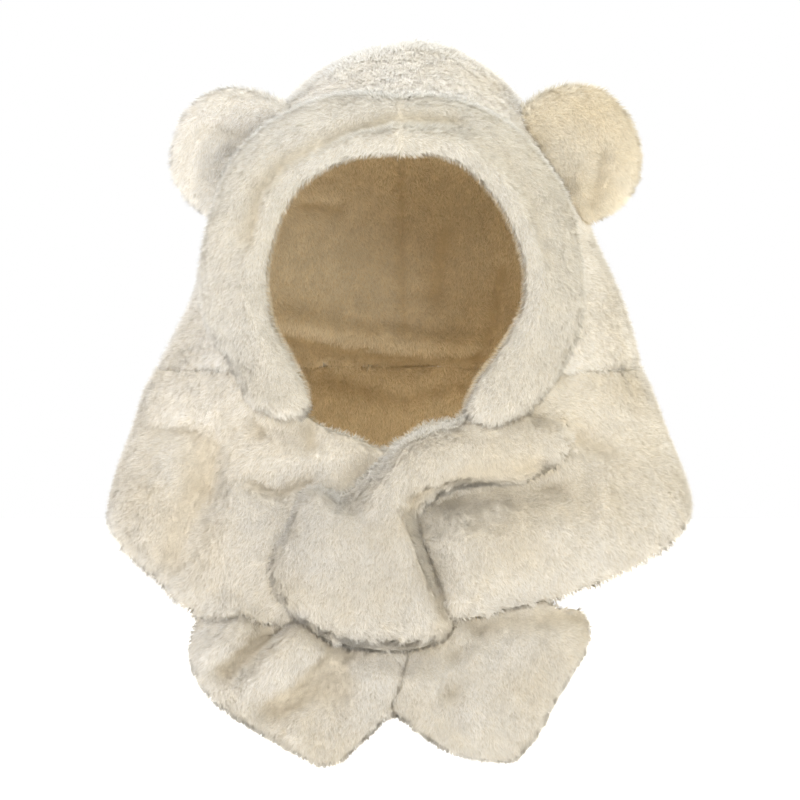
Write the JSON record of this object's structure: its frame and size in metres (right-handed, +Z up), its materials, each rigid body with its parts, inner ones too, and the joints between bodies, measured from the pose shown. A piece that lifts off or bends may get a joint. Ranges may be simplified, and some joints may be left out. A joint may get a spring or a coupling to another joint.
{
  "type": "hooded scarf",
  "caption": "Plush hood with round ears and a padded brim, sewn to a scarf whose gathered end passes under a slot band, with two hanging ends.",
  "frame": {"origin": "where the crown of a head meets the inside of the hood", "axes": "+Z up, the face opening looks along -Y, +X to the right of someone who looks at it"},
  "size_m": [0.4545, 0.3125, 0.558],
  "materials": {
    "plush_hood": "short dense cream pile",
    "plush_brim": "short dense pale cream pile over padding",
    "plush_ear": "short dense warm cream pile over padding",
    "plush_scarf": "short dense cream pile, folded and gathered"
  },
  "bodies": {
    "root": {"hood_shell": "plush_hood", "brim_cuff": "plush_brim", "ear_left": "plush_ear", "ear_right": "plush_ear", "scarf_wrap": "plush_scarf", "slot_band": "plush_scarf", "scarf_end_left": "plush_scarf", "scarf_end_right": "plush_scarf"}
  },
  "joints": []
}
